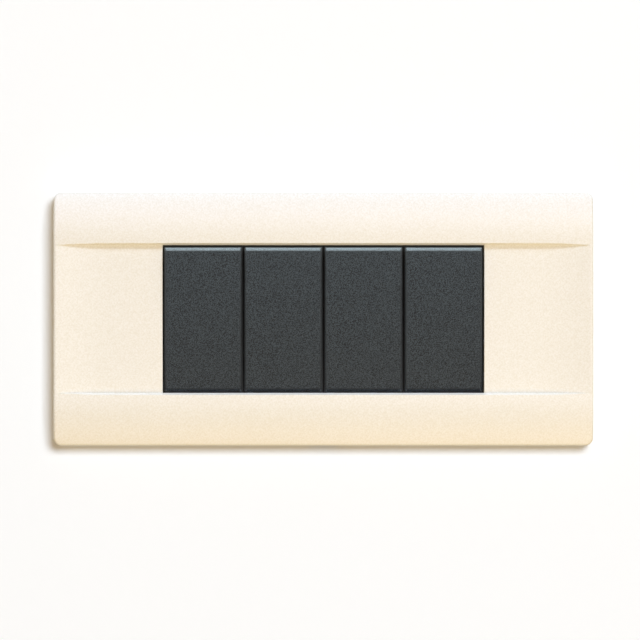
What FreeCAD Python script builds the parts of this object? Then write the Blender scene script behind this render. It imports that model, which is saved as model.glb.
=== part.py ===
import FreeCAD, Part
import math
import os
import re
import Sketcher
from FreeCAD import Placement, Rotation, Vector

# A wall plate with four rocker switches, in millimetres and degrees.
# X runs along the plate, Z is up and the front faces -Y. The wall is the plane y = 0, and every
# height below is measured from the wall, or from a pivot, towards the front.

MODULE_COUNT = 4
RIB_COUNT = 3
SPRING_TURNS = 3
SPRING_RUNS = 6
BOTH_SIDES = ("", "-")
CLOSE = 1e-4

SIZES = {
    # Grid that the four switch modules stand on
    "module_pitch": 22.5,
    "module_gap": 0.2,
    "module_height": 41.3,
    "module_wall": 1.3,
    # Cover plate
    "opening_margin": 0.1,
    "band_height": 14.75,
    "panel_side": 30.65,
    "plate_corner": 2.2,
    "plate_wall": 2.0,
    "plate_edge": 0.7,
    "band_roll": 30.0,
    "crest_inset": 2.4,
    "panel_step": 1.2,
    "panel_draft": 24.0,
    "panel_rise": 14.0,
    "panel_end": 0.9,
    "opening_round": 0.25,
    "sill_gap": 0.4,
    "sill_drop": 1.0,
    "sill_wall": 1.5,
    "hook_offset": 30.0,
    "hook_width": 7.0,
    "hook_wall": 1.5,
    "hook_barb": 0.75,
    "hook_tail": 2.2,
    "hook_clear": 2.45,
    "rib_spacing": 50.0,
    "rib_wall": 1.0,
    "rib_foot": 1.5,
    "rib_run": 2.6,
    "pry_width": 8.0,
    "pry_depth": 1.4,
    # Mounting frame and its two screws
    "frame_thickness": 2.4,
    "frame_edge": 3.4,
    "frame_ear": 7.5,
    "frame_corner": 3.0,
    "frame_rim_wall": 1.6,
    "frame_rim_height": 2.0,
    "window_gap": 0.35,
    "snap_gap": 0.1,
    "screw_margin": 9.0,
    "slot_width": 4.2,
    "slot_travel": 3.8,
    "screw_head_radius": 3.4,
    "screw_head_height": 2.2,
    "screw_neck_radius": 1.4,
    "screw_neck_end": 0.3,
    "screw_thread_radius": 1.75,
    "screw_length": 25.0,
    "recess_length": 5.2,
    "recess_width": 1.0,
    "recess_depth": 1.1,
    # Rocker key
    "key_gap": 1.0,
    "key_end_gap": 0.45,
    "key_stand": 1.0,
    "key_top": 1.8,
    "key_wall": 1.4,
    "key_crown": 400.0,
    "key_nose": 0.8,
    "key_side_bevel": 0.3,
    "key_tilt": 4.0,
    "key_rock_gap": 0.4,
    "pin_radius": 1.0,
    "pin_fit": 0.05,
    "bearing_wall": 0.85,
    "bearing_chamfer": 0.7,
    "bearing_mouth": 1.6,
    "bearing_lead": 0.3,
    "lip_gap": 0.15,
    "lip_wall": 0.5,
    "post_clear": 0.5,
    "post_side_gap": 0.85,
    "post_wall": 1.6,
    "post_gap": 0.2,
    "ear_wall": 1.6,
    "pin_shy": 0.1,
    "boss_wall": 0.8,
    "boss_length": 7.0,
    "bore_half": 1.6,
    "bore_roof": 0.5,
    # Plunger and its spring
    "plunger_fit": 0.1,
    "plunger_reach": 10.0,
    "plunger_length": 6.5,
    "plunger_nose": 2.2,
    "spring_wire": 0.4,
    "spring_fit": 0.15,
    # Switch body
    "flange_lip": 1.65,
    "flange_depth": 2.4,
    "deck_depth": 1.4,
    "body_depth": 7.6,
    "aperture_gap": 0.9,
    "aperture_rock": 1.5,
    "lug_width": 8.0,
    "lug_reach": 1.05,
    "lug_length": 2.5,
    "latch_offset": 10.0,
    "latch_width": 4.4,
    "latch_length": 2.0,
    "latch_sill": 0.6,
    # Contact arm and contacts
    "plunger_gap": 0.05,
    "arm_tilt": 10.0,
    "arm_width": 5.6,
    "arm_tail": 1.8,
    "arm_sheet": 0.8,
    "arm_rise": 0.55,
    "arm_lip_height": 0.95,
    "arm_lip_wall": 0.6,
    "arm_lip_length": 13.0,
    "arm_pin_radius": 0.8,
    "arm_pin_spread": 62.0,
    "arm_pin_length": 8.8,
    "contact_shy": 0.6,
    "contact_width": 3.2,
    "contact_crown": 8.0,
    "contact_height": 0.9,
    "contact_gap": 0.2,
    "line_contact_width": 3.6,
    "line_contact_height": 0.8,
    # Terminal strips and their clamp springs
    "strip_sheet": 0.8,
    "saddle_width": 8.0,
    "saddle_length": 4.4,
    "tongue_width": 3.2,
    "pad_width": 4.8,
    "notch_fit": 0.05,
    "foot_ledge": 1.0,
    "leg_fit": 0.1,
    "leg_length": 6.5,
    "clamp_sheet": 0.4,
    "clamp_fit": 0.2,
    "clamp_bend": 1.4,
    "clamp_gap": 0.3,
    "clamp_drop": 2.0,
    # Switch base
    "spigot_height": 3.2,
    "spigot_wall": 1.0,
    "spigot_fit": 0.1,
    "barb_reach": 1.0,
    "barb_fit": 0.2,
    "stop_gap": 0.2,
    "stop_wall": 0.8,
    "stop_length": 1.5,
    "stop_clear": 0.3,
    "chamber_width": 7.2,
    "chamber_height": 8.6,
    "chamber_depth": 9.0,
    "guide_depth": 5.0,
    "wire_radius": 2.0,
    "wire_fit": 0.05,
    "release_width": 3.0,
    "release_height": 1.4,
    "release_gap": 1.1,
    # How far a feature runs past a face that it is joined to or cuts through
    "overrun": 0.5,
}

# Heights and half sizes that several pieces share, worked out from the sizes above
MODULE_HALF = "((module_pitch - module_gap) / 2)"
MODULE_INNER = f"({MODULE_HALF} - module_wall)"
MODULE_END = "(module_height / 2)"
MODULE_INNER_END = "(module_height / 2 - module_wall)"
GRID_HALF = f"({MODULE_COUNT} * module_pitch / 2)"
FLANGE_END = f"({MODULE_END} + flange_lip)"
FLANGE_FRONT = "(frame_thickness + flange_depth)"

OPENING_HALF = f"({GRID_HALF} + opening_margin)"
OPENING_END = f"({MODULE_END} + opening_margin)"
PLATE_HALF = f"({OPENING_HALF} + panel_side)"
PLATE_END = f"({OPENING_END} + band_height)"
SILL_REAR = f"({FLANGE_FRONT} + sill_gap)"
PANEL_ROOF = f"({SILL_REAR} + sill_drop)"
PANEL_FRONT = f"({PANEL_ROOF} + plate_wall)"
BAND_INNER = f"({OPENING_END} + panel_step * tan(panel_draft))"
BAND_INNER_HEIGHT = f"({PANEL_FRONT} + panel_step)"
CREST_LINE = f"({BAND_INNER} + crest_inset)"
ROLL_CENTRE = f"({BAND_INNER_HEIGHT} - sqrt(band_roll ^ 2 - crest_inset ^ 2))"
CREST_FRONT = f"({ROLL_CENTRE} + band_roll)"
EDGE_HEIGHT = f"({ROLL_CENTRE} + sqrt(band_roll ^ 2 - ({PLATE_END} - {CREST_LINE}) ^ 2))"
HOOK_INNER = f"({FLANGE_END} + hook_clear)"
HOOK_OUTER = f"({HOOK_INNER} + hook_wall)"

SCREW_LINE = f"({GRID_HALF} + screw_margin)"
FRAME_HALF = f"({SCREW_LINE} + frame_ear)"
FRAME_END = f"({HOOK_OUTER} + window_gap + frame_edge)"

KEY_HALF = "((module_pitch - key_gap) / 2)"
KEY_END = f"({MODULE_END} - key_end_gap)"
BEARING_RADIUS = "(pin_radius + pin_fit + bearing_wall)"
BEARING_TIP = f"({BEARING_RADIUS} - bearing_chamfer)"
KEY_UNDERSIDE = f"(post_clear + {BEARING_RADIUS})"
KEY_FACE = f"({KEY_UNDERSIDE} + key_top)"
KEY_PIVOT = f"({PANEL_FRONT} + key_stand - {KEY_FACE})"
KEY_SKIRT = f"({FLANGE_FRONT} + key_rock_gap + {KEY_END} * sin(key_tilt) - {KEY_PIVOT})"
KEY_CROWN_DROP = f"(key_crown - sqrt(key_crown ^ 2 - ({KEY_END} - key_nose) ^ 2))"
POST_OUTER = f"({MODULE_INNER} - post_side_gap)"
POST_INNER = f"({POST_OUTER} - post_wall)"
EAR_OUTER = f"({POST_INNER} - post_gap)"
EAR_INNER = f"({EAR_OUTER} - ear_wall)"
SPRING_SEAT = f"({KEY_UNDERSIDE} - bore_roof)"
BOSS_HALF = "(bore_half + boss_wall)"
PLUNGER_HALF = "(bore_half - plunger_fit)"
PLUNGER_TOP = "(plunger_length - plunger_reach)"

ARM_FRONT = "(arm_rise + arm_sheet)"
ARM_PIVOT = f"({KEY_PIVOT} - plunger_reach - plunger_gap - {ARM_FRONT})"
SPIGOT_HALF = f"({MODULE_INNER} - spigot_fit)"
SPIGOT_END = f"({MODULE_INNER_END} - spigot_fit)"
CHAMBER_OUTER = f"({SPIGOT_END} - spigot_wall)"
CHAMBER_INNER = f"({CHAMBER_OUTER} - chamber_height)"
LEG_OUTER = f"({CHAMBER_OUTER} - leg_fit)"
LEG_INNER = f"({LEG_OUTER} - strip_sheet)"
WIRE_LINE = f"({LEG_INNER} - wire_fit - wire_radius)"
CONTACT_REACH = f"({CHAMBER_INNER} - contact_shy)"
ARM_END = f"({CONTACT_REACH} + arm_tail)"
CONTACT_DROP = "(contact_height - arm_rise)"
CONTACT_SWING = f"({CONTACT_REACH} * sin(arm_tilt) + {CONTACT_DROP} * cos(arm_tilt))"
STRIP_FRONT = f"({ARM_PIVOT} - {CONTACT_SWING} - contact_gap - line_contact_height)"
STRIP_REAR = f"({STRIP_FRONT} - strip_sheet)"
FOOT_INNER = f"({CHAMBER_INNER} - leg_fit)"
STOP_END = f"({FOOT_INNER} - stop_clear)"
STOP_SWING = f"({STOP_END} * sin(arm_tilt) - arm_rise * cos(arm_tilt))"
STOP_FRONT = f"({ARM_PIVOT} - {STOP_SWING} - stop_gap)"
CHAMBER_REAR = f"({STRIP_REAR} - chamber_depth)"
BASE_REAR = f"({CHAMBER_REAR} - guide_depth)"

document = FreeCAD.newDocument("grid_switch_plate")
sheet = document.addObject("Spreadsheet::Sheet", "Sizes")
sub_parts = []


def fill_sheet():
    for row, (alias, size) in enumerate(SIZES.items(), start=1):
        sheet.set(f"A{row}", alias)
        sheet.set(f"B{row}", str(size))
        sheet.setAlias(f"B{row}", alias)
    document.recompute()


def tied(formula):
    """The formula with each size replaced by its cell in the sheet."""
    return re.sub(r"[a-z_]+", lambda word: f"Sizes.{word[0]}" if word[0] in SIZES else word[0], formula)


def number(formula):
    """What a formula comes to with the sheet's present values."""
    return float(sheet.evalExpression(tied(formula)))


def sub_part(label, across="0", height="0", turn=None):
    """A body at a place across the plate and in front of the wall, turned about X if asked."""
    body = document.addObject("PartDesign::Body", label)
    body.Label = label
    if turn:
        body.Placement = Placement(Vector(), Rotation(Vector(1, 0, 0), number(turn)))
        body.setExpression("Placement.Rotation.Angle", tied(turn))
    body.setExpression("Placement.Base.x", tied(across))
    body.setExpression("Placement.Base.y", tied(f"-({height})"))
    sub_parts.append(body)
    return body


def origin_plane(body, role):
    return next(item for item in body.Origin.OriginFeatures if item.Role == role)


class Drawing:
    """A sketch on one plane of a body, with each point tied to the sheet.

    A front drawing has points (across, up), a side drawing (height, up) and a plan drawing
    (across, height). The place of the plane is its height, across or up.
    """

    PLANES = {"front": ("XZ_Plane", 1, 1), "side": ("YZ_Plane", -1, 1), "plan": ("XY_Plane", 1, -1)}

    def __init__(self, body, plane, place="0"):
        role, self.first_sign, self.second_sign = self.PLANES[plane]
        self.body = body
        self.sketch = body.newObject("Sketcher::SketchObject", f"{body.Label}_{plane}")
        self.sketch.AttachmentSupport = [(origin_plane(body, role), "")]
        self.sketch.MapMode = "FlatFace"
        self.sketch.setExpression("AttachmentOffset.Base.z", tied(place))

    def _point(self, point):
        first, second = point
        return (f"-({first})" if self.first_sign < 0 else first,
                f"-({second})" if self.second_sign < 0 else second)

    def _tie(self, kind, values, formula):
        index = self.sketch.addConstraint(Sketcher.Constraint(kind, *values, number(formula)))
        self.sketch.setExpression(f"Constraints[{index}]", tied(formula))

    def _fix(self, geometry, end, formulas):
        for kind, formula in zip(("DistanceX", "DistanceY"), formulas):
            self._fix_along(kind, geometry, end, formula)

    def _fix_along(self, kind, geometry, end, formula):
        if formula in ("0", "-(0)"):
            axis = {"DistanceX": -2, "DistanceY": -1}[kind]
            self.sketch.addConstraint(Sketcher.Constraint("PointOnObject", geometry, end, axis))
        else:
            self._tie(kind, (-1, 1, geometry, end), formula)

    def path(self, points, arcs=None, closed=True):
        """Straight runs from point to point. arcs gives the radius and the side of a round run.

        A run bulges to its left for side 1 and to its right for side -1, seen from the front, with
        heights to the right or up. A radius of None is a half circle.
        """
        arcs = arcs or {}
        formulas = [self._point(point) for point in points]
        places = [Vector(number(first), number(second), 0) for first, second in formulas]
        ends = list(zip(places, places[1:] + places[:1]))
        if not closed:
            ends.pop()
        runs = [self._arc(*ends[run], *arcs[run]) if run in arcs else self._line(*ends[run])
                for run in range(len(ends))]
        for run, (geometry, start, end) in enumerate(runs):
            self._fix(geometry, start, formulas[run])
            if run in arcs:
                self._shape_arc(geometry, arcs[run][0], ends[run], formulas[run])
        for (geometry, start, end), after in zip(runs, runs[1:] + runs[:1] if closed else runs[1:]):
            self.sketch.addConstraint(Sketcher.Constraint("Coincident", geometry, end, *after[:2]))
        if not closed:
            geometry, start, end = runs[-1]
            self._fix(geometry, end, formulas[-1])

    def _line(self, start, end):
        return self.sketch.addGeometry(Part.LineSegment(start, end), False), 1, 2

    def _arc(self, start, end, radius, side):
        side = side * self.first_sign * self.second_sign
        chord = end - start
        left = Vector(-chord.y, chord.x, 0).normalize()
        size = chord.Length / 2 if radius is None else number(radius)
        centre_off = math.sqrt(max(size ** 2 - (chord.Length / 2) ** 2, 0))
        centre = (start + end) / 2 - left * (side * centre_off)
        first, last = (end, start) if side > 0 else (start, end)
        angles = [math.atan2(place.y - centre.y, place.x - centre.x) for place in (first, last)]
        circle = Part.Circle(centre, Vector(0, 0, 1), size)
        geometry = self.sketch.addGeometry(Part.ArcOfCircle(circle, *angles), False)
        return (geometry, 2, 1) if side > 0 else (geometry, 1, 2)

    def _shape_arc(self, geometry, radius, ends, formulas):
        """Ties the radius, or sets the centre of a half circle level with its ends."""
        if radius is not None:
            self._tie("Radius", (geometry,), radius)
            return
        upright = abs(ends[0].x - ends[1].x) < CLOSE
        self._fix_along("DistanceX" if upright else "DistanceY", geometry, 3, formulas[0 if upright else 1])

    def rectangle(self, left, right, low, high):
        self.path([(left, low), (right, low), (right, high), (left, high)])

    def centred(self, half_width, half_height):
        self.rectangle(f"-{half_width}", half_width, f"-{half_height}", half_height)

    def circle(self, across, up, radius):
        formulas = self._point((across, up))
        centre = Vector(number(formulas[0]), number(formulas[1]), 0)
        geometry = self.sketch.addGeometry(Part.Circle(centre, Vector(0, 0, 1), number(radius)), False)
        self._fix(geometry, 3, formulas)
        self._tie("Radius", (geometry,), radius)

    def axis(self, start, end):
        """A line to turn the drawing about."""
        formulas = [self._point(start), self._point(end)]
        places = [Vector(number(first), number(second), 0) for first, second in formulas]
        geometry = self.sketch.addGeometry(Part.LineSegment(*places), True)
        self._fix(geometry, 1, formulas[0])
        self._fix(geometry, 2, formulas[1])


def add_feature(drawing, kind, length, symmetric):
    feature = drawing.body.newObject(f"PartDesign::{kind}", f"{drawing.body.Label}_{kind.lower()}")
    feature.Profile = drawing.sketch
    feature.setExpression("Length", tied(length))
    feature.SideType = "Symmetric" if symmetric else "One side"
    drawing.body.Tip = feature
    return feature


def pad(drawing, length, symmetric=False):
    return add_feature(drawing, "Pad", length, symmetric)


def pocket(drawing, depth, symmetric=False):
    return add_feature(drawing, "Pocket", depth, symmetric)


def revolve(drawing):
    feature = drawing.body.newObject("PartDesign::Revolution", f"{drawing.body.Label}_revolution")
    feature.Profile = drawing.sketch
    feature.ReferenceAxis = (drawing.sketch, ["Axis0"])
    feature.Angle = 360
    drawing.body.Tip = feature
    return feature


def mirror(body, role, features):
    feature = body.newObject("PartDesign::Mirrored", f"{body.Label}_mirrored")
    feature.Originals = features
    feature.MirrorPlane = (origin_plane(body, role), [""])
    body.Tip = feature
    return feature


def dress_edges(body, kind, size_name, size, chosen):
    """Rounds or bevels each edge of the body so far that passes the test."""
    document.recompute()
    base = body.Tip
    names = [f"Edge{index}" for index, edge in enumerate(base.Shape.Edges, start=1) if chosen(edge)]
    feature = body.newObject(f"PartDesign::{kind}", f"{body.Label}_{kind.lower()}")
    feature.Base = (base, names)
    feature.setExpression(size_name, tied(size))
    body.Tip = feature


def round_edges(body, radius, chosen):
    dress_edges(body, "Fillet", "Radius", radius, chosen)


def bevel_edges(body, size, chosen):
    dress_edges(body, "Chamfer", "Size", size, chosen)


def runs_through(edge):
    """True for an edge that runs straight from front to rear."""
    box = edge.BoundBox
    return box.XLength < CLOSE and box.ZLength < CLOSE


def at_corner(edge, half_width, half_height):
    box = edge.BoundBox
    return (runs_through(edge) and abs(abs(box.XMin) - number(half_width)) < CLOSE
            and abs(abs(box.ZMin) - number(half_height)) < CLOSE)


def cover_plate():
    """One moulding: two rolled bands and a sunken panel between them that runs out at its ends."""
    body = sub_part("cover_plate")
    section = Drawing(body, "side")
    section.path([("0", f"-{PLATE_END}"), ("0", PLATE_END), (EDGE_HEIGHT, PLATE_END),
                  (BAND_INNER_HEIGHT, BAND_INNER), (BAND_INNER_HEIGHT, f"-{BAND_INNER}"),
                  (EDGE_HEIGHT, f"-{PLATE_END}")],
                 arcs={2: ("band_roll", 1), 4: ("band_roll", 1)})
    pad(section, f"2 * {PLATE_HALF}", symmetric=True)
    round_edges(body, "plate_corner", lambda edge: at_corner(edge, PLATE_HALF, PLATE_END))
    round_edges(body, "plate_edge", on_front_outline)
    sink_panel(body)
    hollow_rear(body)
    cut_opening(body)
    add_hooks(body)
    add_ribs(body)
    pry_slot = Drawing(body, "front", "pry_depth")
    pry_slot.rectangle("-pry_width / 2", "pry_width / 2", f"-{PLATE_END} - overrun",
                       f"-{PLATE_END} + plate_wall + overrun")
    pocket(pry_slot, "pry_depth + overrun")


def on_front_outline(edge):
    """True for the edges round the front of the plate, before anything is cut into it."""
    middle = edge.valueAt((edge.FirstParameter + edge.LastParameter) / 2)
    corner = number("plate_corner")
    near_end = abs(middle.z) > number(PLATE_END) - corner
    near_side = abs(middle.x) > number(PLATE_HALF) - corner
    at_front = edge.BoundBox.YMax < -corner and not runs_through(edge)
    return at_front and (near_end or near_side)


def sink_panel(body):
    """A drafted channel swept along a line that curves up to the surface at each end of the plate."""
    bend = f"({PLATE_HALF} - panel_end - panel_rise)"
    bend_radius = "(panel_rise ^ 2 / (2 * panel_step) + panel_step / 2)"
    past_end = f"({PLATE_HALF} + overrun)"
    height_there = f"({PANEL_FRONT} + {bend_radius} - sqrt({bend_radius} ^ 2 - ({past_end} - {bend}) ^ 2))"
    line = Drawing(body, "plan")
    line.path([("0", PANEL_FRONT), (bend, PANEL_FRONT), (past_end, height_there)],
              arcs={1: (bend_radius, -1)}, closed=False)
    clear_of_crest = f"({CREST_FRONT} + overrun)"
    mouth = f"({OPENING_END} + ({clear_of_crest} - {PANEL_FRONT}) * tan(panel_draft))"
    channel = Drawing(body, "side")
    channel.path([(PANEL_FRONT, f"-{OPENING_END}"), (PANEL_FRONT, OPENING_END),
                  (clear_of_crest, mouth), (clear_of_crest, f"-{mouth}")])
    sweep = body.newObject("PartDesign::SubtractivePipe", "panel_sweep")
    sweep.Profile = channel.sketch
    sweep.Spine = (line.sketch, ["Edge1", "Edge2"])
    body.Tip = sweep
    mirror(body, "YZ_Plane", [sweep])


def hollow_rear(body):
    inner_end = f"({PLATE_END} - plate_wall)"
    inner_edge = f"({ROLL_CENTRE} + sqrt((band_roll - plate_wall) ^ 2 - ({inner_end} - {CREST_LINE}) ^ 2))"
    crest_roof = f"({CREST_FRONT} - plate_wall)"
    section = Drawing(body, "side")
    section.path([("-overrun", f"-{inner_end}"), ("-overrun", inner_end), (inner_edge, inner_end),
                  (crest_roof, CREST_LINE), (PANEL_ROOF, CREST_LINE), (PANEL_ROOF, f"-{CREST_LINE}"),
                  (crest_roof, f"-{CREST_LINE}"), (inner_edge, f"-{inner_end}")],
                 arcs={2: ("band_roll - plate_wall", 1), 6: ("band_roll - plate_wall", 1)})
    pocket(section, f"2 * ({PLATE_HALF} - plate_wall)", symmetric=True)


def cut_opening(body):
    """The opening for the keys, with a sill round it that reaches back to the modules."""
    sill = Drawing(body, "front", SILL_REAR)
    sill.centred(f"({OPENING_HALF} + sill_wall)", f"({OPENING_END} + sill_wall)")
    pad(sill, "sill_drop + overrun")
    opening = Drawing(body, "front", CREST_FRONT)
    opening.centred(OPENING_HALF, OPENING_END)
    pocket(opening, f"{CREST_FRONT} + overrun")
    half, front = number(OPENING_HALF), number(PANEL_FRONT)

    def on_side(edge):
        box = edge.BoundBox
        return box.XLength < CLOSE and abs(abs(box.XMin) - half) < CLOSE and abs(box.YMax + front) < CLOSE

    round_edges(body, "opening_round", on_side)


def add_hooks(body):
    """Four hooks that pass through the frame and snap behind it."""
    root = f"({CREST_FRONT} - plate_wall)"
    barb_tip = f"({HOOK_OUTER} + hook_barb)"
    lead = f"({HOOK_OUTER} - hook_barb)"
    hooks = Drawing(body, "side", "hook_offset - hook_width / 2")
    for sign in BOTH_SIDES:
        hooks.path([(root, f"{sign}{HOOK_INNER}"), ("-hook_tail", f"{sign}{HOOK_INNER}"),
                    ("-hook_tail", f"{sign}{lead}"), ("-snap_gap - hook_barb", f"{sign}{barb_tip}"),
                    ("-snap_gap", f"{sign}{barb_tip}"), ("-snap_gap", f"{sign}{HOOK_OUTER}"),
                    (root, f"{sign}{HOOK_OUTER}")])
    mirror(body, "YZ_Plane", [pad(hooks, "hook_width")])


def add_ribs(body):
    """Gussets between the long outer walls and the roof of the bands."""
    wall = f"({PLATE_END} - plate_wall)"
    in_wall = f"({PLATE_END} - plate_wall / 2)"
    first = f"-rib_spacing * {(RIB_COUNT - 1) / 2} - rib_wall / 2"
    ribs = Drawing(body, "side", first)
    for sign in BOTH_SIDES:
        ribs.path([("rib_foot", f"{sign}{in_wall}"), ("rib_foot", f"{sign}({wall} - overrun)"),
                   (EDGE_HEIGHT, f"{sign}({wall} - rib_run)"), (EDGE_HEIGHT, f"{sign}{in_wall}")])
    rib = pad(ribs, "rib_wall")
    row = body.newObject("PartDesign::LinearPattern", "rib_row")
    row.Originals = [rib]
    row.Direction = (origin_plane(body, "X_Axis"), [""])
    row.Occurrences = RIB_COUNT
    row.setExpression("Length", tied(f"rib_spacing * {RIB_COUNT - 1}"))
    body.Tip = row


def mounting_frame():
    """The frame that is screwed to the wall box. The modules and the cover plate snap into it."""
    body = sub_part("mounting_frame")
    outline = Drawing(body, "front")
    outline.centred(FRAME_HALF, FRAME_END)
    pad(outline, "frame_thickness")
    rim = Drawing(body, "front", "frame_thickness")
    rim.centred(FRAME_HALF, FRAME_END)
    rim.centred(f"({FRAME_HALF} - frame_rim_wall)", f"({FRAME_END} - frame_rim_wall)")
    pad(rim, "frame_rim_height")
    bevel_edges(body, "frame_corner", lambda edge: at_corner(edge, FRAME_HALF, FRAME_END))
    openings = Drawing(body, "front", "frame_thickness")
    openings.centred(f"({GRID_HALF} + window_gap)", f"({MODULE_END} + window_gap)")
    hook_room = "(hook_width / 2 + 2 * window_gap)"
    for across in ("hook_offset", "-hook_offset"):
        for sign in BOTH_SIDES:
            ends = [f"{sign}({HOOK_INNER} - window_gap)", f"{sign}({HOOK_OUTER} + window_gap)"]
            openings.rectangle(f"{across} - {hook_room}", f"{across} + {hook_room}", *ends)
    for sign in BOTH_SIDES:
        left, right = f"{sign}{SCREW_LINE} - slot_travel / 2", f"{sign}{SCREW_LINE} + slot_travel / 2"
        openings.path([(left, "-slot_width / 2"), (right, "-slot_width / 2"),
                       (right, "slot_width / 2"), (left, "slot_width / 2")],
                      arcs={1: (None, -1), 3: (None, -1)})
    pocket(openings, "frame_thickness + overrun")


def fixing_screws():
    """Two slotted screws, with a thinner neck where they pass through the frame."""
    body = sub_part("fixing_screws")
    seat = "frame_thickness"
    crown = f"({seat} + screw_head_height)"
    tail = f"({seat} - screw_length)"
    turned = Drawing(body, "plan")

    def out(radius):
        return f"{SCREW_LINE} + {radius}"

    turned.path([(SCREW_LINE, crown), (out("screw_head_radius"), crown), (out("screw_head_radius"), seat),
                 (out("screw_neck_radius"), seat), (out("screw_neck_radius"), "-screw_neck_end"),
                 (out("screw_thread_radius"), "-screw_neck_end"), (out("screw_thread_radius"), tail),
                 (SCREW_LINE, tail)])
    turned.axis((SCREW_LINE, tail), (SCREW_LINE, crown))
    slot = Drawing(body, "front", crown)
    slot.rectangle(f"{SCREW_LINE} - recess_width / 2", f"{SCREW_LINE} + recess_width / 2",
                   "-recess_length / 2", "recess_length / 2")
    mirror(body, "YZ_Plane", [revolve(turned), pocket(slot, "recess_depth")])


def rocker_key(index, across):
    """The key: a crowned cap with a bore for the plunger and two half-round pins to rock on."""
    body = sub_part(f"rocker_key_{index}", across, KEY_PIVOT, "key_tilt")
    shoulder = f"({KEY_FACE} - {KEY_CROWN_DROP})"
    nose_end = f"({KEY_END} - key_nose)"
    section = Drawing(body, "side")
    nose = f"({shoulder} - key_nose)"
    section.path([(KEY_SKIRT, f"-{KEY_END}"), (KEY_SKIRT, KEY_END), (nose, KEY_END), (shoulder, nose_end),
                  (shoulder, f"-{nose_end}"), (nose, f"-{KEY_END}")], arcs={3: ("key_crown", 1)})
    pad(section, f"2 * {KEY_HALF}", symmetric=True)
    half, skirt = number(KEY_HALF), number(KEY_SKIRT)

    def beside_the_face(edge):
        box = edge.BoundBox
        upright = box.ZLength < CLOSE
        at_side = box.XLength < CLOSE and abs(abs(box.XMin) - half) < CLOSE
        return at_side and box.YMin < -skirt - CLOSE and not upright

    bevel_edges(body, "key_side_bevel", beside_the_face)
    hollow = Drawing(body, "front", KEY_UNDERSIDE)
    hollow.centred(f"({KEY_HALF} - key_wall)", f"({KEY_END} - key_wall)")
    pocket(hollow, KEY_UNDERSIDE)
    ear = Drawing(body, "side", EAR_INNER)
    root, tip = f"{KEY_UNDERSIDE} + overrun", f"-{BEARING_RADIUS}"
    shoulder = f"{tip} + bearing_chamfer"
    ear.path([(root, f"-{BEARING_RADIUS}"), (shoulder, f"-{BEARING_RADIUS}"), (tip, f"-{BEARING_TIP}"),
              (tip, BEARING_TIP), (shoulder, BEARING_RADIUS), (root, BEARING_RADIUS)])
    pin = Drawing(body, "side", f"{EAR_OUTER} - overrun")
    pin.path([("0", "-pin_radius"), ("0", "pin_radius")], arcs={1: (None, -1)})
    pin_length = f"{POST_OUTER} - pin_shy - {EAR_OUTER} + overrun"
    mirror(body, "YZ_Plane", [pad(ear, "ear_wall"), pad(pin, pin_length)])
    boss = Drawing(body, "front", "-boss_length")
    boss.centred(BOSS_HALF, BOSS_HALF)
    pad(boss, f"boss_length + {KEY_UNDERSIDE} + overrun")
    bore = Drawing(body, "front", SPRING_SEAT)
    bore.centred("bore_half", "bore_half")
    pocket(bore, f"{SPRING_SEAT} + boss_length + overrun")


def key_plunger(index, across):
    """A square plunger with a rounded nose, which slides in the key's bore."""
    body = sub_part(f"key_plunger_{index}", across, KEY_PIVOT, "key_tilt")
    shoulder = f"(plunger_nose - sqrt(plunger_nose ^ 2 - {PLUNGER_HALF} ^ 2) - plunger_reach)"
    section = Drawing(body, "side")
    section.path([(PLUNGER_TOP, f"-{PLUNGER_HALF}"), (PLUNGER_TOP, PLUNGER_HALF), (shoulder, PLUNGER_HALF),
                  (shoulder, f"-{PLUNGER_HALF}")], arcs={2: ("plunger_nose", -1)})
    pad(section, f"2 * {PLUNGER_HALF}", symmetric=True)


def key_spring(index, across):
    """A coil of square wire between the plunger and the roof of the key's bore.

    The wire runs straight from one section to the next, so the coil is a solid of flat faces.
    """
    half_wire = number("spring_wire / 2")
    coil = number("bore_half - spring_fit") - half_wire
    low = number(PLUNGER_TOP) + half_wire
    rise = number(SPRING_SEAT) - half_wire - low
    runs = SPRING_TURNS * SPRING_RUNS
    sections = []
    for run in range(runs + 1):
        angle = 2 * math.pi * run / SPRING_RUNS
        height = low + rise * run / runs
        sections.append([Vector(radius * math.cos(angle), -level, radius * math.sin(angle))
                         for radius, level in ((coil - half_wire, height - half_wire),
                                               (coil + half_wire, height - half_wire),
                                               (coil + half_wire, height + half_wire),
                                               (coil - half_wire, height + half_wire))])
    corners = [sections[0], sections[-1]]
    for here, there in zip(sections, sections[1:]):
        for side in range(4):
            after = (side + 1) % 4
            corners.append([here[side], here[after], there[after]])
            corners.append([here[side], there[after], there[side]])
    faces = [Part.Face(Part.makePolygon(points + points[:1])) for points in corners]
    spring = document.addObject("Part::Feature", f"key_spring_{index}")
    spring.Label = f"key_spring_{index}"
    spring.Shape = Part.makeSolid(Part.makeShell(faces))
    spring.Placement = Placement(Vector(number(across), -number(KEY_PIVOT), 0),
                                 Rotation(Vector(1, 0, 0), number("key_tilt")))
    sub_parts.append(spring)


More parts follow.
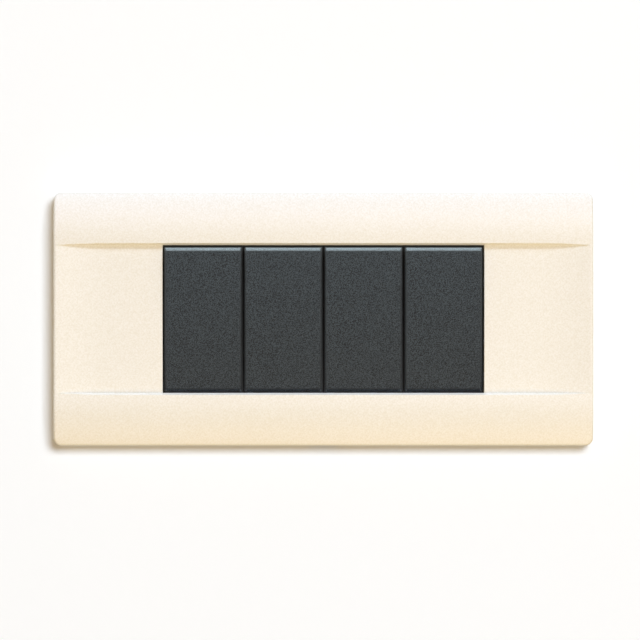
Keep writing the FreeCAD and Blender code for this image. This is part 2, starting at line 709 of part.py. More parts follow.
def switch_body(index, across):
    """The module's front moulding: a flange on the frame, a deck with the key's bearings, a rear skirt."""
    body = sub_part(f"switch_body_{index}", across)
    flange = Drawing(body, "front", "frame_thickness")
    flange.centred(MODULE_HALF, FLANGE_END)
    pad(flange, "flange_depth")
    box = Drawing(body, "front", "-body_depth")
    box.centred(MODULE_HALF, MODULE_END)
    pad(box, "body_depth + frame_thickness + overrun")
    well = Drawing(body, "front", FLANGE_FRONT)
    well.centred(MODULE_INNER, MODULE_INNER_END)
    pocket(well, "flange_depth")
    cavity = Drawing(body, "front", "frame_thickness - deck_depth")
    cavity.centred(MODULE_INNER, MODULE_INNER_END)
    pocket(cavity, "body_depth + frame_thickness")
    aperture = Drawing(body, "front", "frame_thickness")
    aperture.centred(f"({BOSS_HALF} + aperture_gap)", f"({BOSS_HALF} + aperture_rock)")
    pocket(aperture, "deck_depth")
    mirror(body, "YZ_Plane", [bearing_post(body)])
    lugs = Drawing(body, "side", "-lug_width / 2")
    for sign in BOTH_SIDES:
        lugs.path([("-snap_gap", f"{sign}({MODULE_END} - module_wall / 2)"),
                   ("-snap_gap", f"{sign}({MODULE_END} + lug_reach)"),
                   ("-snap_gap - lug_length", f"{sign}{MODULE_END}"),
                   ("-snap_gap - lug_length", f"{sign}({MODULE_END} - module_wall / 2)")])
    pad(lugs, "lug_width")
    latches = Drawing(body, "side")
    for line in ("latch_offset", "-latch_offset"):
        latches.rectangle("-body_depth + latch_sill", "-body_depth + latch_sill + latch_length",
                          f"{line} - latch_width / 2", f"{line} + latch_width / 2")
    pocket(latches, f"2 * {MODULE_HALF} + overrun", symmetric=True)


def bearing_post(body):
    """A post with a half-round bearing. The key's pin snaps in past two lips that close over its flat."""
    root = "frame_thickness - deck_depth / 2"
    tip = f"{KEY_PIVOT} + {BEARING_RADIUS}"
    shoulder = f"{tip} - bearing_chamfer"
    bore = "(pin_radius + pin_fit)"
    lip = f"{KEY_PIVOT} + lip_gap"
    mouth, lead = "bearing_mouth / 2", "(bearing_mouth / 2 + bearing_lead)"
    half = [(KEY_PIVOT, bore), (lip, bore), (lip, mouth), (f"{lip} + lip_wall", mouth), (tip, lead),
            (tip, BEARING_TIP), (shoulder, BEARING_RADIUS), (root, BEARING_RADIUS)]
    other_half = [(height, f"-{up}") for height, up in reversed(half)]
    post = Drawing(body, "side", POST_INNER)
    post.path(other_half + half, arcs={len(half) - 1: (None, 1)})
    return pad(post, "post_wall")


def switch_base(index, across):
    """The rear moulding: a spigot that latches into the body, and a chamber for each terminal."""
    body = sub_part(f"switch_base_{index}", across)
    block = Drawing(body, "front", BASE_REAR)
    block.centred(MODULE_HALF, MODULE_END)
    pad(block, f"-body_depth - {BASE_REAR}")
    spigot = Drawing(body, "front", "-body_depth - overrun")
    spigot.centred(SPIGOT_HALF, SPIGOT_END)
    pad(spigot, "spigot_height + overrun")
    well = Drawing(body, "front", "spigot_height - body_depth")
    well.centred(f"({SPIGOT_HALF} - spigot_wall)", CHAMBER_OUTER)
    pocket(well, f"spigot_height - body_depth - {STRIP_REAR}")
    barbs = Drawing(body, "plan", "latch_offset - latch_width / 2 + barb_fit")
    heel = "-body_depth + latch_sill + snap_gap"
    lead = "-body_depth + latch_sill + latch_length - snap_gap"
    for sign in BOTH_SIDES:
        barbs.path([(f"{sign}({SPIGOT_HALF} - spigot_wall / 2)", heel),
                    (f"{sign}({SPIGOT_HALF} + barb_reach)", heel), (f"{sign}{SPIGOT_HALF}", lead),
                    (f"{sign}({SPIGOT_HALF} - spigot_wall / 2)", lead)])
    mirror(body, "XY_Plane", [pad(barbs, "latch_width - 2 * barb_fit")])
    chambers = Drawing(body, "front", STRIP_REAR)
    for sign in BOTH_SIDES:
        chambers.rectangle("-chamber_width / 2", "chamber_width / 2", f"{sign}{CHAMBER_INNER}",
                           f"{sign}{CHAMBER_OUTER}")
    pocket(chambers, "chamber_depth")
    stops = Drawing(body, "front", f"{STRIP_REAR} - overrun")
    stop_inner = "(tongue_width / 2 + stop_clear)"
    for sign in BOTH_SIDES:
        stops.rectangle(f"{sign}{stop_inner}", f"{sign}({stop_inner} + stop_wall)",
                        f"{STOP_END} - stop_length", STOP_END)
    pad(stops, f"{STOP_FRONT} - {STRIP_REAR} + overrun")
    entries = Drawing(body, "front", CHAMBER_REAR)
    release_end = f"({WIRE_LINE} - wire_radius - release_gap)"
    for sign in BOTH_SIDES:
        entries.circle("0", f"{sign}{WIRE_LINE}", "wire_radius")
        entries.rectangle("-release_width / 2", "release_width / 2",
                          f"{sign}({release_end} - release_height)", f"{sign}{release_end}")
    pocket(entries, "guide_depth + overrun")


def contact_arm(index, across):
    """A channel of sheet brass with a round-bottomed bar to rock on, pushed over by the plunger."""
    body = sub_part(f"contact_arm_{index}", across, ARM_PIVOT, "-arm_tilt")
    strip = Drawing(body, "front", "arm_rise")
    strip.centred("(arm_width / 2)", ARM_END)
    pad(strip, "arm_sheet")
    lips = Drawing(body, "front", "arm_rise")
    for sign in BOTH_SIDES:
        lips.rectangle(f"{sign}(arm_width / 2 - arm_lip_wall)", f"{sign}(arm_width / 2)",
                       "-arm_lip_length / 2", "arm_lip_length / 2")
    pad(lips, "arm_sheet + arm_lip_height")
    bar = Drawing(body, "side")
    bar_side, bar_shoulder = "arm_pin_radius * sin(arm_pin_spread)", "-arm_pin_radius * cos(arm_pin_spread)"
    bar.path([(ARM_FRONT, f"-{bar_side}"), (ARM_FRONT, bar_side), (bar_shoulder, bar_side),
              (bar_shoulder, f"-{bar_side}")], arcs={2: ("arm_pin_radius", -1)})
    pad(bar, "arm_pin_length", symmetric=True)


def contact_tip(body, seat, face, width):
    """A silver tip with a crowned face, from its seat on a strip."""
    way = "-" if number(face) > number(seat) else "+"
    edge = f"{face} {way} (contact_crown - sqrt(contact_crown ^ 2 - ({width} / 2) ^ 2))"
    section = Drawing(body, "side")
    section.path([(seat, f"-{CONTACT_REACH} - {width} / 2"), (seat, f"-{CONTACT_REACH} + {width} / 2"),
                  (edge, f"-{CONTACT_REACH} + {width} / 2"), (edge, f"-{CONTACT_REACH} - {width} / 2")],
                 arcs={2: ("contact_crown", 1 if way == "-" else -1)})
    pad(section, width, symmetric=True)


def arm_contact(index, across):
    """The contact at the back of the arm's end."""
    body = sub_part(f"arm_contact_{index}", across, ARM_PIVOT, "-arm_tilt")
    contact_tip(body, "arm_rise", "(arm_rise - contact_height)", "contact_width")


def line_contact(index, across):
    """The fixed contact that the arm's contact meets."""
    body = sub_part(f"line_contact_{index}", across)
    contact_tip(body, STRIP_FRONT, f"({STRIP_FRONT} + line_contact_height)", "line_contact_width")


def strip_foot(body, sign):
    """The broad end of a strip over its chamber, and the leg that the wire is clamped against."""
    foot = Drawing(body, "front", STRIP_REAR)
    foot_half = "(chamber_width / 2 + foot_ledge)"
    foot.rectangle(f"-{foot_half}", foot_half, f"{sign}{FOOT_INNER}", f"{sign}{LEG_OUTER}")
    pad(foot, "strip_sheet")
    leg = Drawing(body, "front", f"{STRIP_REAR} - leg_length")
    leg_half = "(chamber_width / 2 - leg_fit)"
    leg.rectangle(f"-{leg_half}", leg_half, f"{sign}{LEG_INNER}", f"{sign}{LEG_OUTER}")
    pad(leg, "leg_length + strip_sheet")


def common_strip(index, across):
    """A stamped strip with two upright ears, each with a square notch that carries the arm's bar."""
    body = sub_part(f"common_strip_{index}", across)
    saddle = Drawing(body, "front", STRIP_REAR)
    saddle.centred("(saddle_width / 2)", "(saddle_length / 2)")
    pad(saddle, "strip_sheet")
    tongue = Drawing(body, "front", STRIP_REAR)
    tongue.rectangle("-tongue_width / 2", "tongue_width / 2", "0", WIRE_LINE)
    pad(tongue, "strip_sheet")
    strip_foot(body, "")
    notch = "((arm_pin_radius + notch_fit) * sqrt(2))"
    ear = Drawing(body, "side", "saddle_width / 2 - strip_sheet")
    side = "saddle_length / 2"
    ear.path([(STRIP_REAR, f"-{side}"), (ARM_PIVOT, f"-{side}"), (ARM_PIVOT, f"-{notch}"),
              (f"{ARM_PIVOT} - {notch}", "0"), (ARM_PIVOT, notch), (ARM_PIVOT, side), (STRIP_REAR, side)])
    mirror(body, "YZ_Plane", [pad(ear, "strip_sheet")])


def line_strip(index, across):
    """A stamped strip that carries the fixed contact."""
    body = sub_part(f"line_strip_{index}", across)
    strip_foot(body, "-")
    tongue = Drawing(body, "front", STRIP_REAR)
    tongue.rectangle("-pad_width / 2", "pad_width / 2", f"-{WIRE_LINE}",
                     f"-{CONTACT_REACH} + pad_width / 2")
    pad(tongue, "strip_sheet")


def clamp_springs(index, across):
    """Two bent leaf springs. A wire that is pushed in slides past the long leaf, which then holds it."""
    body = sub_part(f"clamp_springs_{index}", across)
    root = f"({CHAMBER_INNER} + clamp_fit)"
    inside = f"({root} + clamp_sheet)"
    bend = f"({root} + clamp_bend)"
    top = f"({STRIP_REAR} - clamp_drop)"
    floor = f"({CHAMBER_REAR} + clamp_sheet)"
    edge = f"({LEG_INNER} - clamp_gap)"
    leaf = Drawing(body, "side")
    for sign in BOTH_SIDES:
        leaf.path([(top, f"{sign}{root}"), (CHAMBER_REAR, f"{sign}{root}"), (CHAMBER_REAR, f"{sign}{bend}"),
                   (f"{top} - clamp_sheet", f"{sign}{edge}"), (top, f"{sign}{edge}"),
                   (floor, f"{sign}({bend} - clamp_sheet / 2)"), (floor, f"{sign}{inside}"),
                   (top, f"{sign}{inside}")])
    pad(leaf, "chamber_width - 4 * leg_fit", symmetric=True)


def switch_module(index):
    across = f"module_pitch * ({index} - {(MODULE_COUNT + 1) / 2})"
    for piece in (rocker_key, key_plunger, key_spring, switch_body, switch_base, contact_arm, arm_contact,
                  common_strip, line_strip, line_contact, clamp_springs):
        piece(index, across)


def check_model():
    """Stops if a feature failed, a cut removed nothing or a sub-part isn't a sound solid."""
    for item in document.Objects:
        if "Invalid" in item.State or "Error" in item.State:
            raise RuntimeError(f"{item.Label} failed: {item.State}")
        if item.TypeId in ("PartDesign::Pocket", "PartDesign::SubtractivePipe"):
            if item.Shape.Volume >= item.BaseFeature.Shape.Volume:
                raise RuntimeError(f"{item.Label} cuts nothing")
    for body in sub_parts:
        if body.Shape.isNull() or not body.Shape.isValid() or not body.Shape.Solids:
            raise RuntimeError(f"{body.Label} is not a sound solid")


def write_parts():
    os.makedirs("parts", exist_ok=True)
    for body in sub_parts:
        body.Shape.exportStep(os.path.join("parts", f"{body.Label}.step"))


fill_sheet()
cover_plate()
mounting_frame()
fixing_screws()
for module in range(1, MODULE_COUNT + 1):
    switch_module(module)
document.recompute()
check_model()
write_parts()
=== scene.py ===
import math
import bmesh
import bpy
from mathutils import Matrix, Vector


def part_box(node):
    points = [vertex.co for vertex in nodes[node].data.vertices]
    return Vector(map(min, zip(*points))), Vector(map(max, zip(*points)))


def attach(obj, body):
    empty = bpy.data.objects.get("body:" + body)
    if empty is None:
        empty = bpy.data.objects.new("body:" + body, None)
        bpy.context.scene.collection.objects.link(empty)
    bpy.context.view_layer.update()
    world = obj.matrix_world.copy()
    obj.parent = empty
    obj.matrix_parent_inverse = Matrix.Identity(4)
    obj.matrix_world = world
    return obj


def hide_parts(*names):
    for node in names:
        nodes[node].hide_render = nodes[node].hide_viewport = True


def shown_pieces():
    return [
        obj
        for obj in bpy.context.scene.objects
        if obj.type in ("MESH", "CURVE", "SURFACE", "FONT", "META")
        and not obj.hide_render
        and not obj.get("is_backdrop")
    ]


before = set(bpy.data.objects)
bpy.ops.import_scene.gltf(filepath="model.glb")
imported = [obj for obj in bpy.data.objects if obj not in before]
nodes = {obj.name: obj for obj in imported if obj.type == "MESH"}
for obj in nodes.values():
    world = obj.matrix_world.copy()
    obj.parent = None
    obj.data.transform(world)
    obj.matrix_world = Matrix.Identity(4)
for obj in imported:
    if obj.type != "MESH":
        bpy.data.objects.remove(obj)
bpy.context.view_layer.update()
mm = 0.001
moduleCount = 4
noiseTurn = (0.5, 0.7, 0.3)  # radians, so that no flat face lies along the noise's own lattice
print("frame loaded:", len(nodes), "CAD nodes")


class Wire:
    # one output of a shader node, which takes part in sums
    def __init__(self, finish, socket):
        self.finish = finish
        self.socket = socket

    def maths(self, operation, first, second):
        return self.finish.node("ShaderNodeMath", {"operation": operation}, {0: first, 1: second})

    def __add__(self, other):
        return self.maths("ADD", self, other)

    def __radd__(self, other):
        return self.maths("ADD", other, self)

    def __mul__(self, other):
        return self.maths("MULTIPLY", self, other)

    def __rmul__(self, other):
        return self.maths("MULTIPLY", other, self)


class Finish:
    # the node tree of a material or of the world
    def __init__(self, owner):
        owner.use_nodes = True
        self.owner = owner
        self.tree = owner.node_tree
        self.tree.nodes.clear()

    def node(self, kind, settings, sockets, output=0):
        made = self.tree.nodes.new(kind)
        for name, value in settings.items():
            if name == "stops":
                self.setRamp(made.color_ramp, value)
            else:
                setattr(made, name, value)
        for key, value in sockets.items():
            if isinstance(value, Wire):
                self.tree.links.new(value.socket, made.inputs[key])
            else:
                made.inputs[key].default_value = value
        return Wire(self, made.outputs[output]) if len(made.outputs) else None

    def setRamp(self, ramp, stops):
        while len(ramp.elements) < len(stops):
            ramp.elements.new(0.5)
        for element, (place, grey) in zip(ramp.elements, stops):
            element.position = place
            element.color = (grey, grey, grey, 1.0)

    def place(self):
        return self.node("ShaderNodeTexCoord", {}, {}, "Object")

    def noise(self, place, scale, detail=2.0, rough=0.5):
        sockets = {"Vector": place, "Scale": scale, "Detail": detail, "Roughness": rough}
        return self.node("ShaderNodeTexNoise", {"noise_dimensions": "3D"}, sockets)

    def stretch(self, place, scale):
        return self.node("ShaderNodeMapping", {"vector_type": "POINT"}, {"Vector": place, "Scale": scale})

    def turned(self, place):
        sockets = {"Vector": place, "Rotation": noiseTurn}
        return self.node("ShaderNodeMapping", {"vector_type": "POINT"}, sockets)

    def ramp(self, value, *stops):
        return self.node("ShaderNodeValToRGB", {"stops": stops}, {"Fac": value})

    def blend(self, share, dark, light):
        # sockets 0, 6 and 7 are the share and the two colours, output 2 is the colour
        sockets = {0: share, 6: (*dark, 1.0), 7: (*light, 1.0)}
        return self.node("ShaderNodeMix", {"data_type": "RGBA"}, sockets, 2)

    def bump(self, height, strength, depth):
        return self.node("ShaderNodeBump", {}, {"Height": height, "Strength": strength, "Distance": depth})

    def surface(self, sockets):
        shader = self.node("ShaderNodeBsdfPrincipled", {}, sockets)
        self.node("ShaderNodeOutputMaterial", {}, {"Surface": shader})
        return self.owner

    def oneSided(self, front):
        # clear from behind, so that the part is seen from every side
        clear = self.node("ShaderNodeBsdfTransparent", {}, {"Color": (1.0, 1.0, 1.0, 1.0)})
        behind = self.node("ShaderNodeNewGeometry", {}, {}, "Backfacing")
        shader = self.node("ShaderNodeMixShader", {}, {0: behind, 1: front, 2: clear})
        self.node("ShaderNodeOutputMaterial", {}, {"Surface": shader})
        return self.owner


ivory = {
    "light": (0.925, 0.897, 0.802), "dark": (0.828, 0.784, 0.652),
    "grain": 2200.0, "grainStops": ((0.34, 0.0), (0.66, 1.0)), "grainShare": 0.85,
    "clouds": 45.0, "cloudShare": 0.15, "roughness": 0.31, "roughSpread": 0.10,
    "bump": 0.25, "grainDepth": 0.012 * mm, "specular": 0.45,
}


def ivoryPlastic():
    made = Finish(bpy.data.materials.new("ivoryPlastic"))
    place = made.turned(made.place())
    grain = made.noise(place, ivory["grain"], rough=0.6)
    clouds = made.noise(place, ivory["clouds"])
    share = made.ramp(grain, *ivory["grainStops"]) * ivory["grainShare"] + clouds * ivory["cloudShare"]
    return made.surface({
        "Base Color": made.blend(share, ivory["dark"], ivory["light"]),
        "Roughness": ivory["roughness"] + ivory["roughSpread"] * grain,
        "Normal": made.bump(grain, ivory["bump"], ivory["grainDepth"]),
        "Specular IOR Level": ivory["specular"],
    })


anthracite = {
    "dark": (0.000, 0.000, 0.001), "light": (0.042, 0.053, 0.064),
    "speckle": 4000.0, "speckleStops": ((0.44, 0.0), (0.56, 1.0)), "speckleShare": 0.95,
    "patches": 80.0, "patchShare": 0.05, "roughness": 0.44, "roughSpread": 0.12,
    "bump": 0.6, "grainDepth": 0.030 * mm, "specular": 0.25,
}


def anthracitePlastic():
    made = Finish(bpy.data.materials.new("anthracitePlastic"))
    place = made.turned(made.place())
    speckle = made.noise(place, anthracite["speckle"], rough=0.6)
    patches = made.noise(place, anthracite["patches"])
    fine = made.ramp(speckle, *anthracite["speckleStops"])
    share = fine * anthracite["speckleShare"] + patches * anthracite["patchShare"]
    return made.surface({
        "Base Color": made.blend(share, anthracite["dark"], anthracite["light"]),
        "Roughness": anthracite["roughness"] + anthracite["roughSpread"] * speckle,
        "Normal": made.bump(speckle, anthracite["bump"], anthracite["grainDepth"]),
        "Specular IOR Level": anthracite["specular"],
    })


keyBevel = {
    # the root colour is painted shade and the tip colour a painted highlight on the key bevels
    "shadedRootColour": (0.008, 0.010, 0.012), "highlightTipColour": (0.075, 0.088, 0.095),
    "rootRoughness": 0.88, "tipRoughness": 0.38, "grain": 1200.0, "roughSpread": 0.04,
    "root": 19.6 * mm, "tip": 20.05 * mm, "specular": 0.7,
}


def bevelPlastic():
    # the bevels at the keys' ends are worn smoother towards the tip; their colour runs from painted shade at
    # the root to a painted highlight at the tip
    made = Finish(bpy.data.materials.new("anthraciteEdge"))
    place = made.place()
    grain = made.noise(place, keyBevel["grain"])
    height = made.node("ShaderNodeSeparateXYZ", {}, {"Vector": place}, "Z")
    fromMiddle = made.node("ShaderNodeMath", {"operation": "ABSOLUTE"}, {0: height})
    wearAndHighlight = made.node("ShaderNodeMapRange", {"clamp": True},
                     {"Value": fromMiddle, "From Min": keyBevel["root"], "From Max": keyBevel["tip"]})
    smoother = keyBevel["tipRoughness"] - keyBevel["rootRoughness"]
    return made.surface({
        "Base Color": made.blend(wearAndHighlight, keyBevel["shadedRootColour"], keyBevel["highlightTipColour"]),
        "Roughness": keyBevel["rootRoughness"] + keyBevel["roughSpread"] * grain + smoother * wearAndHighlight,
        "Specular IOR Level": keyBevel["specular"],
    })


moulding = {
    "grain": 2200.0, "grainShare": 0.6, "flow": 160.0, "flowStretch": (1.0, 0.25, 1.0), "flowShare": 0.4,
    "roughSpread": 0.16, "bump": 0.35, "grainDepth": 0.015 * mm, "specular": 0.4,
}
mouldings = {
    "framePlastic": {"dark": (0.080, 0.085, 0.090), "light": (0.105, 0.110, 0.116), "roughness": 0.42},
    "bodyPlastic": {"dark": (0.029, 0.031, 0.034), "light": (0.043, 0.045, 0.049), "roughness": 0.37},
    "nylon": {"dark": (0.70, 0.68, 0.61), "light": (0.78, 0.76, 0.69), "roughness": 0.34},
}


def mouldedPlastic(name):
    look = mouldings[name]
    made = Finish(bpy.data.materials.new(name))
    place = made.place()
    grain = made.noise(place, moulding["grain"], detail=3.0, rough=0.6)
    flow = made.noise(made.stretch(place, moulding["flowStretch"]), moulding["flow"], detail=3.0)
    share = moulding["grainShare"] * grain + moulding["flowShare"] * flow
    return made.surface({
        "Base Color": made.blend(share, look["dark"], look["light"]),
        "Roughness": look["roughness"] + moulding["roughSpread"] * flow,
        "Normal": made.bump(grain, moulding["bump"], moulding["grainDepth"]),
        "Specular IOR Level": moulding["specular"],
    })


metal = {
    "drawn": 1800.0, "drawnShare": 0.5, "drawnRough": 0.12, "bump": 0.2, "drawnDepth": 0.006 * mm,
    "stain": 220.0, "stainShare": 0.5, "stainRough": 0.10,
}
metals = {
    "brass": {"dark": (0.70, 0.49, 0.19), "light": (0.86, 0.65, 0.31), "roughness": 0.18,
              "streaks": (1.0, 0.06, 1.0)},
    "silverContact": {"dark": (0.80, 0.79, 0.76), "light": (0.92, 0.91, 0.88), "roughness": 0.15,
                      "streaks": (1.0, 1.0, 0.2)},
    "springSteel": {"dark": (0.42, 0.42, 0.43), "light": (0.60, 0.60, 0.61), "roughness": 0.19,
                    "streaks": (0.1, 1.0, 1.0)},
    "zincSteel": {"dark": (0.56, 0.58, 0.60), "light": (0.72, 0.74, 0.76), "roughness": 0.25,
                  "streaks": (1.0, 1.0, 1.0)},
}


def workedMetal(name):
    look = metals[name]
    made = Finish(bpy.data.materials.new(name))
    place = made.place()
    drawn = made.noise(made.stretch(place, look["streaks"]), metal["drawn"], detail=3.0, rough=0.6)
    stain = made.noise(place, metal["stain"], detail=3.0)
    share = metal["drawnShare"] * drawn + metal["stainShare"] * stain
    return made.surface({
        "Base Color": made.blend(share, look["dark"], look["light"]),
        "Metallic": 1.0,
        "Roughness": look["roughness"] + metal["drawnRough"] * drawn + metal["stainRough"] * stain,
        "Normal": made.bump(drawn, metal["bump"], metal["drawnDepth"]),
    })


finishes = {
    "ivory_plastic": ivoryPlastic(),
    "key_plastic": anthracitePlastic(),
    "frame_plastic": mouldedPlastic("framePlastic"),
    "body_plastic": mouldedPlastic("bodyPlastic"),
    "nylon": mouldedPlastic("nylon"),
    "brass": workedMetal("brass"),
    "silver_contact": workedMetal("silverContact"),
    "spring_steel": workedMetal("springSteel"),
    "zinc_steel": workedMetal("zincSteel"),
}
edgeFinish = bevelPlastic()
print("finishes made:", len(finishes) + 1)

nodeSlots = {
    "cover_plate": "ivory_plastic", "rocker_key": "key_plastic", "mounting_frame": "frame_plastic",
    "fixing_screws": "zinc_steel", "switch_body": "body_plastic", "switch_base": "body_plastic",
    "key_plunger": "nylon", "key_spring": "spring_steel", "clamp_springs": "spring_steel",
    "contact_arm": "brass", "common_strip": "brass", "line_strip": "brass",
    "arm_contact": "silver_contact", "line_contact": "silver_contact",
}


def paint(piece, slotName):
    piece.data.materials.clear()
    piece.data.materials.append(finishes[slotName])


for name, piece in nodes.items():
    kind = name.rstrip("0123456789").rstrip("_")
    paint(piece, nodeSlots[kind])
print("CAD nodes painted:", len(nodes))

mesher = {"weld": 0.001 * mm, "flat": 0.3, "smooth": 38.0}  # angles in degrees
keyCap = {"noseRound": 0.15 * mm, "sideRound": 0.12 * mm, "steps": 4, "sideReach": 0.4 * mm,
          "endReach": 1.5 * mm, "frontFrom": -5.5 * mm, "sharp": 20.0, "slopeFront": 0.4, "slopeEnd": 0.5}


def weldedCopy(nodeName):
    mesh = bmesh.new()
    mesh.from_mesh(nodes[nodeName].data)
    bmesh.ops.remove_doubles(mesh, verts=mesh.verts, dist=mesher["weld"])
    bmesh.ops.dissolve_limit(mesh, angle_limit=math.radians(mesher["flat"]), verts=mesh.verts, edges=mesh.edges)
    return mesh


def isSharp(edge, degrees):
    return edge.is_manifold and edge.calc_face_angle(0.0) > math.radians(degrees)


def addPiece(name, mesh, slotName):
    data = bpy.data.meshes.new(name)
    mesh.to_mesh(data)
    mesh.free()
    data.shade_smooth()
    data.set_sharp_from_angle(angle=math.radians(mesher["smooth"]))
    piece = bpy.data.objects.new(name, data)
    bpy.context.scene.collection.objects.link(piece)
    paint(piece, slotName)
    return piece


def faceNormals(piece):
    # large faces keep their own direction beside the small ones of a round
    normals = piece.modifiers.new("faceNormals", "WEIGHTED_NORMAL")
    normals.keep_sharp = True


def makeKeyCap(number):
    nodeName = f"rocker_key_{number}"
    low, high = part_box(nodeName)
    mesh = weldedCopy(nodeName)
    weight = mesh.edges.layers.float.new("bevel_weight_edge")
    for edge in mesh.edges:
        middle = (edge.verts[0].co + edge.verts[1].co) / 2
        onSide = min(middle.x - low.x, high.x - middle.x) < keyCap["sideReach"]
        onEnd = min(middle.z - low.z, high.z - middle.z) < keyCap["endReach"]
        inFront = middle.y < keyCap["frontFrom"]
        if (onSide or onEnd) and inFront and isSharp(edge, keyCap["sharp"]):
            edge[weight] = keyCap["sideRound"] / keyCap["noseRound"] if onSide else 1.0
    for face in mesh.faces:
        # the slopes at the two ends
        if face.normal.y < -keyCap["slopeFront"] and abs(face.normal.z) > keyCap["slopeEnd"]:
            face.material_index = 1
    piece = addPiece(f"keyCap_{number}", mesh, "key_plastic")
    piece.data.materials.append(edgeFinish)
    rounding = piece.modifiers.new("edgeRound", "BEVEL")
    rounding.limit_method = "WEIGHT"
    rounding.width = keyCap["noseRound"]
    rounding.segments = keyCap["steps"]
    rounding.use_clamp_overlap = False
    rounding.material = 1
    faceNormals(piece)
    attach(piece, f"key_{number}")
    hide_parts(nodeName)
    return piece


keyCaps = [makeKeyCap(number) for number in range(1, moduleCount + 1)]
print("key caps rounded:", len(keyCaps))

screw = {
    "core": 1.32 * mm, "crest": 1.75 * mm, "pitch": 0.6 * mm, "runOut": 1.2 * mm, "across": 54.0 * mm,
    "neckEnd": 0.3 * mm, "inNeck": 0.4 * mm, "slack": 0.01 * mm, "tip": 1.0 * mm, "tipSlope": 0.5,
    "ridgeTop": 1.5, "ridgeFall": 2.0, "around": 16, "rowsPerTurn": 8,
}


def clamped(value):
    return min(1.0, max(0.0, value))


def threadRadius(y, turn, tail):
    # the ridge winds once round in each pitch, starts at the neck and tapers at the tip
    phase = (y / screw["pitch"] - turn) % 1.0
    ridge = clamped(screw["ridgeTop"] - screw["ridgeFall"] * abs(2 * phase - 1))
    grown = clamped((y - screw["neckEnd"]) / screw["runOut"])
    taper = screw["tipSlope"] * max(0.0, y - tail + screw["tip"])
    return screw["core"] + (screw["crest"] - screw["core"]) * ridge * grown - taper


def addThread(mesh, across, tail):
    start = screw["neckEnd"] - screw["inNeck"]  # inside the neck
    rowCount = round((tail - start) / screw["pitch"] * screw["rowsPerTurn"])
    around = screw["around"]
    rows = []
    for row in range(rowCount + 1):
        y = start + (tail - start) * row / rowCount
        ring = []
        for count in range(around):
            turn = count / around
            radius = threadRadius(y, turn, tail)
            angle = 2 * math.pi * turn
            x, z = across + radius * math.cos(angle), radius * math.sin(angle)
            ring.append(mesh.verts.new((x, y, z)))
        rows.append(ring)
    for first, second in zip(rows, rows[1:]):
        for count in range(around):
            after = (count + 1) % around
            mesh.faces.new((first[count], first[after], second[after], second[count]))
    mesh.faces.new(rows[0])
    mesh.faces.new(rows[-1])


def makeScrews():
    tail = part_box("fixing_screws")[1].y
    mesh = weldedCopy("fixing_screws")
    beyond = screw["neckEnd"] - screw["slack"]
    shank = [face for face in mesh.faces if all(vert.co.y > beyond for vert in face.verts)]
    bmesh.ops.delete(mesh, geom=shank, context="FACES")
    bmesh.ops.holes_fill(mesh, edges=[edge for edge in mesh.edges if edge.is_boundary], sides=0)
    for across in (-screw["across"], screw["across"]):
        addThread(mesh, across, tail)
    bmesh.ops.recalc_face_normals(mesh, faces=mesh.faces)
    piece = addPiece("threadedScrews", mesh, "zinc_steel")
    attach(piece, "plate_frame")
    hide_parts("fixing_screws")


makeScrews()
print("screws threaded")

studio = {
    "lens": 321.0, "sensor": 36.0, "cameraPlace": (-0.94 * mm, -1.6092, -0.28 * mm), "sight": (0.05, 20.0),
    "ambient": (0.36, 0.27, 0.16),
    "wallFront": 0.3 * mm, "wallHalf": 1.6, "wallTop": 1.2,
    "wallPaint": (0.95, 0.95, 0.95), "wallBounce": (0.50, 0.46, 0.40), "wallGlow": (0.06, 0.045, 0.025),
    "boxFront": 0.25 * mm, "boxHalf": 50.0 * mm, "boxTop": 26.0 * mm, "boxShade": (0.01, 0.01, 0.01),
    "floorLevel": -0.6, "floorHalf": 3.0, "floorPaint": (0.86, 0.84, 0.80), "floorGlow": (0.62, 0.70, 0.78),
}
softboxes = {
    "mainSoftbox": {"aim": (0.250, -0.940, 0.220), "far": 4.5, "size": (1.50, 1.35),
                    "watts": 33.0, "colour": (1.0, 1.0, 1.0), "lights": "part"},
    "wallSoftbox": {"aim": (0.210, -0.945, 0.250), "far": 4.0, "size": (1.34, 1.20),
                    "watts": 143.0, "colour": (0.77, 0.875, 1.0), "lights": "wall"},
    "topSoftbox": {"aim": (0.12, -0.56, 0.82), "far": 2.0, "size": (1.8, 0.52),
                   "watts": 37.5, "colour": (0.55, 0.70, 1.0), "lights": "plate"},
    "sheenSoftbox": {"aim": (0.0, -0.90, 0.43), "far": 2.0, "size": (2.2, 0.6),
                     "watts": 8.0, "colour": (0.80, 0.65, 1.0), "lights": "plate", "sheenOnly": True},
    "lowSoftbox": {"aim": (0.25, -0.70, -0.66), "far": 0.8, "size": (0.8, 0.3),
                   "watts": 3.2, "colour": (0.96, 0.79, 0.55), "lights": "front", "shadows": "plate"},
    "keySoftbox": {"aim": (0.0, -0.19, 0.982), "far": 0.8, "size": (0.9, 0.40),
                   "watts": 29.0, "colour": (0.80, 0.95, 1.0), "lights": "keys", "shadows": "keys"},
    "rearSoftbox": {"aim": (0.10, 0.975, 0.20), "far": 1.2, "size": (0.7, 0.5),
                    "watts": 10.0, "colour": (0.80, 0.88, 1.0), "lights": "part"},
}


def makeCamera():
    data = bpy.data.cameras.new("camera")
    data.sensor_width = studio["sensor"]
    data.lens = studio["lens"]
    data.clip_start, data.clip_end = studio["sight"]
    camera = bpy.data.objects.new("camera", data)
    camera.location = studio["cameraPlace"]
    camera.rotation_euler = (math.pi / 2, 0.0, 0.0)
    bpy.context.scene.collection.objects.link(camera)
    bpy.context.scene.camera = camera


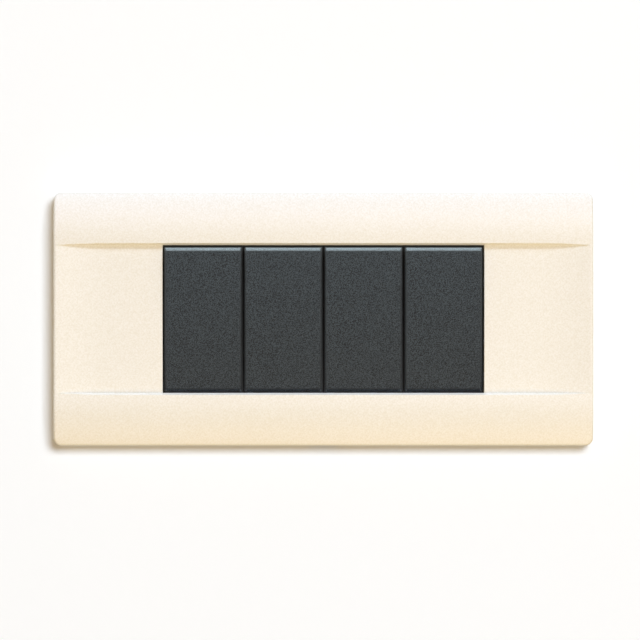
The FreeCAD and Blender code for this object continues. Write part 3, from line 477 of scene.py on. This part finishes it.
def makeSoftbox(name, look):
    data = bpy.data.lights.new(name, "AREA")
    data.shape = "RECTANGLE"
    data.size, data.size_y = look["size"]
    data.energy = look["watts"]
    data.color = look["colour"]
    light = bpy.data.objects.new(name, data)
    aim = Vector(look["aim"]).normalized()
    light.location = aim * look["far"]
    light.rotation_euler = aim.to_track_quat("Z", "Y").to_euler()
    light.visible_camera = False
    light.visible_diffuse = not look.get("sheenOnly", False)
    light.light_linking.receiver_collection = litGroups[look["lights"]]
    if "shadows" in look:
        light.light_linking.blocker_collection = litGroups[look["shadows"]]
    bpy.context.scene.collection.objects.link(light)


def seenDirectly(made):
    # camera, mirror and see-through rays
    camera = made.node("ShaderNodeLightPath", {}, {}, "Is Camera Ray")
    mirror = made.node("ShaderNodeLightPath", {}, {}, "Is Glossy Ray")
    through = made.node("ShaderNodeLightPath", {}, {}, "Is Transmission Ray")
    return camera + mirror + through


def makeWorld():
    world = bpy.data.worlds.new("studio")
    bpy.context.scene.world = world
    made = Finish(world)
    dim = made.node("ShaderNodeBackground", {}, {"Color": (*studio["ambient"], 1.0), "Strength": 1.0})
    white = made.node("ShaderNodeBackground", {}, {"Color": (1.0, 1.0, 1.0, 1.0), "Strength": 1.0})
    mixed = made.node("ShaderNodeMixShader", {}, {0: seenDirectly(made), 1: dim, 2: white})
    made.node("ShaderNodeOutputWorld", {}, {"Surface": mixed})


def wallFinish():
    made = Finish(bpy.data.materials.new("paintedWall"))
    plain = made.node("ShaderNodeBsdfDiffuse", {}, {"Color": (*studio["wallBounce"], 1.0)})
    white = made.node("ShaderNodeBsdfDiffuse", {}, {"Color": (*studio["wallPaint"], 1.0)})
    glow = made.node("ShaderNodeEmission", {}, {"Color": (*studio["wallGlow"], 1.0), "Strength": 1.0})
    seen = made.node("ShaderNodeAddShader", {}, {0: white, 1: glow})
    return made.oneSided(made.node("ShaderNodeMixShader", {}, {0: seenDirectly(made), 1: plain, 2: seen}))


def shadeBoxFinish():
    # painted shade: a near-black sheet behind the plate, seen only through the gaps between the keys and
    # modules
    made = Finish(bpy.data.materials.new("paintedShadeBox"))
    return made.oneSided(made.node("ShaderNodeBsdfDiffuse", {}, {"Color": (*studio["boxShade"], 1.0)}))


def floorFinish():
    made = Finish(bpy.data.materials.new("paleFloor"))
    plain = made.node("ShaderNodeBsdfDiffuse", {}, {"Color": (*studio["floorPaint"], 1.0)})
    white = made.node("ShaderNodeEmission", {}, {"Color": (*studio["floorGlow"], 1.0), "Strength": 1.0})
    both = made.node("ShaderNodeAddShader", {}, {0: plain, 1: white})
    return made.oneSided(made.node("ShaderNodeMixShader", {}, {0: seenDirectly(made), 1: plain, 2: both}))


def makeGroup(name, pieces):
    group = bpy.data.collections.new(name)
    for piece in pieces:
        group.objects.link(piece)
    return group


def makeSheet(name, corners, finish):
    data = bpy.data.meshes.new(name)
    data.from_pydata(corners, [], [(0, 1, 2, 3)])
    data.materials.append(finish)
    sheet = bpy.data.objects.new(name, data)
    bpy.context.scene.collection.objects.link(sheet)
    sheet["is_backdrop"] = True
    return sheet


def makeUpright(name, y, half, low, high, finish):
    corners = [(-half, y, low), (half, y, low), (half, y, high), (-half, y, high)]
    sheet = makeSheet(name, corners, finish)
    sheet.visible_shadow = False  # the back of the part gets its light through the wall
    return sheet


def makeFloor(level, half):
    corners = [(-half, -half, level), (half, -half, level), (half, half, level), (-half, half, level)]
    makeSheet("floor", corners, floorFinish())


makeCamera()
makeWorld()
floorZ = studio["floorLevel"]
boxTop = studio["boxTop"]
wall = makeUpright("wall", studio["wallFront"], studio["wallHalf"], floorZ, studio["wallTop"], wallFinish())
# the near-black sheet of painted shade behind the gaps between the keys
makeUpright("shadeBoxSheet", studio["boxFront"], studio["boxHalf"], -boxTop, boxTop, shadeBoxFinish())
makeFloor(floorZ, studio["floorHalf"])
plate = nodes["cover_plate"]
litGroups = {
    "part": makeGroup("litPart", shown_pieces()), "front": makeGroup("litFront", [plate, *keyCaps]),
    "plate": makeGroup("litPlate", [plate]), "keys": makeGroup("litKeys", keyCaps),
    "wall": makeGroup("litWall", [wall]),
}
for name, look in softboxes.items():
    makeSoftbox(name, look)
bpy.context.scene.view_settings.view_transform = "Standard"
print("studio set")
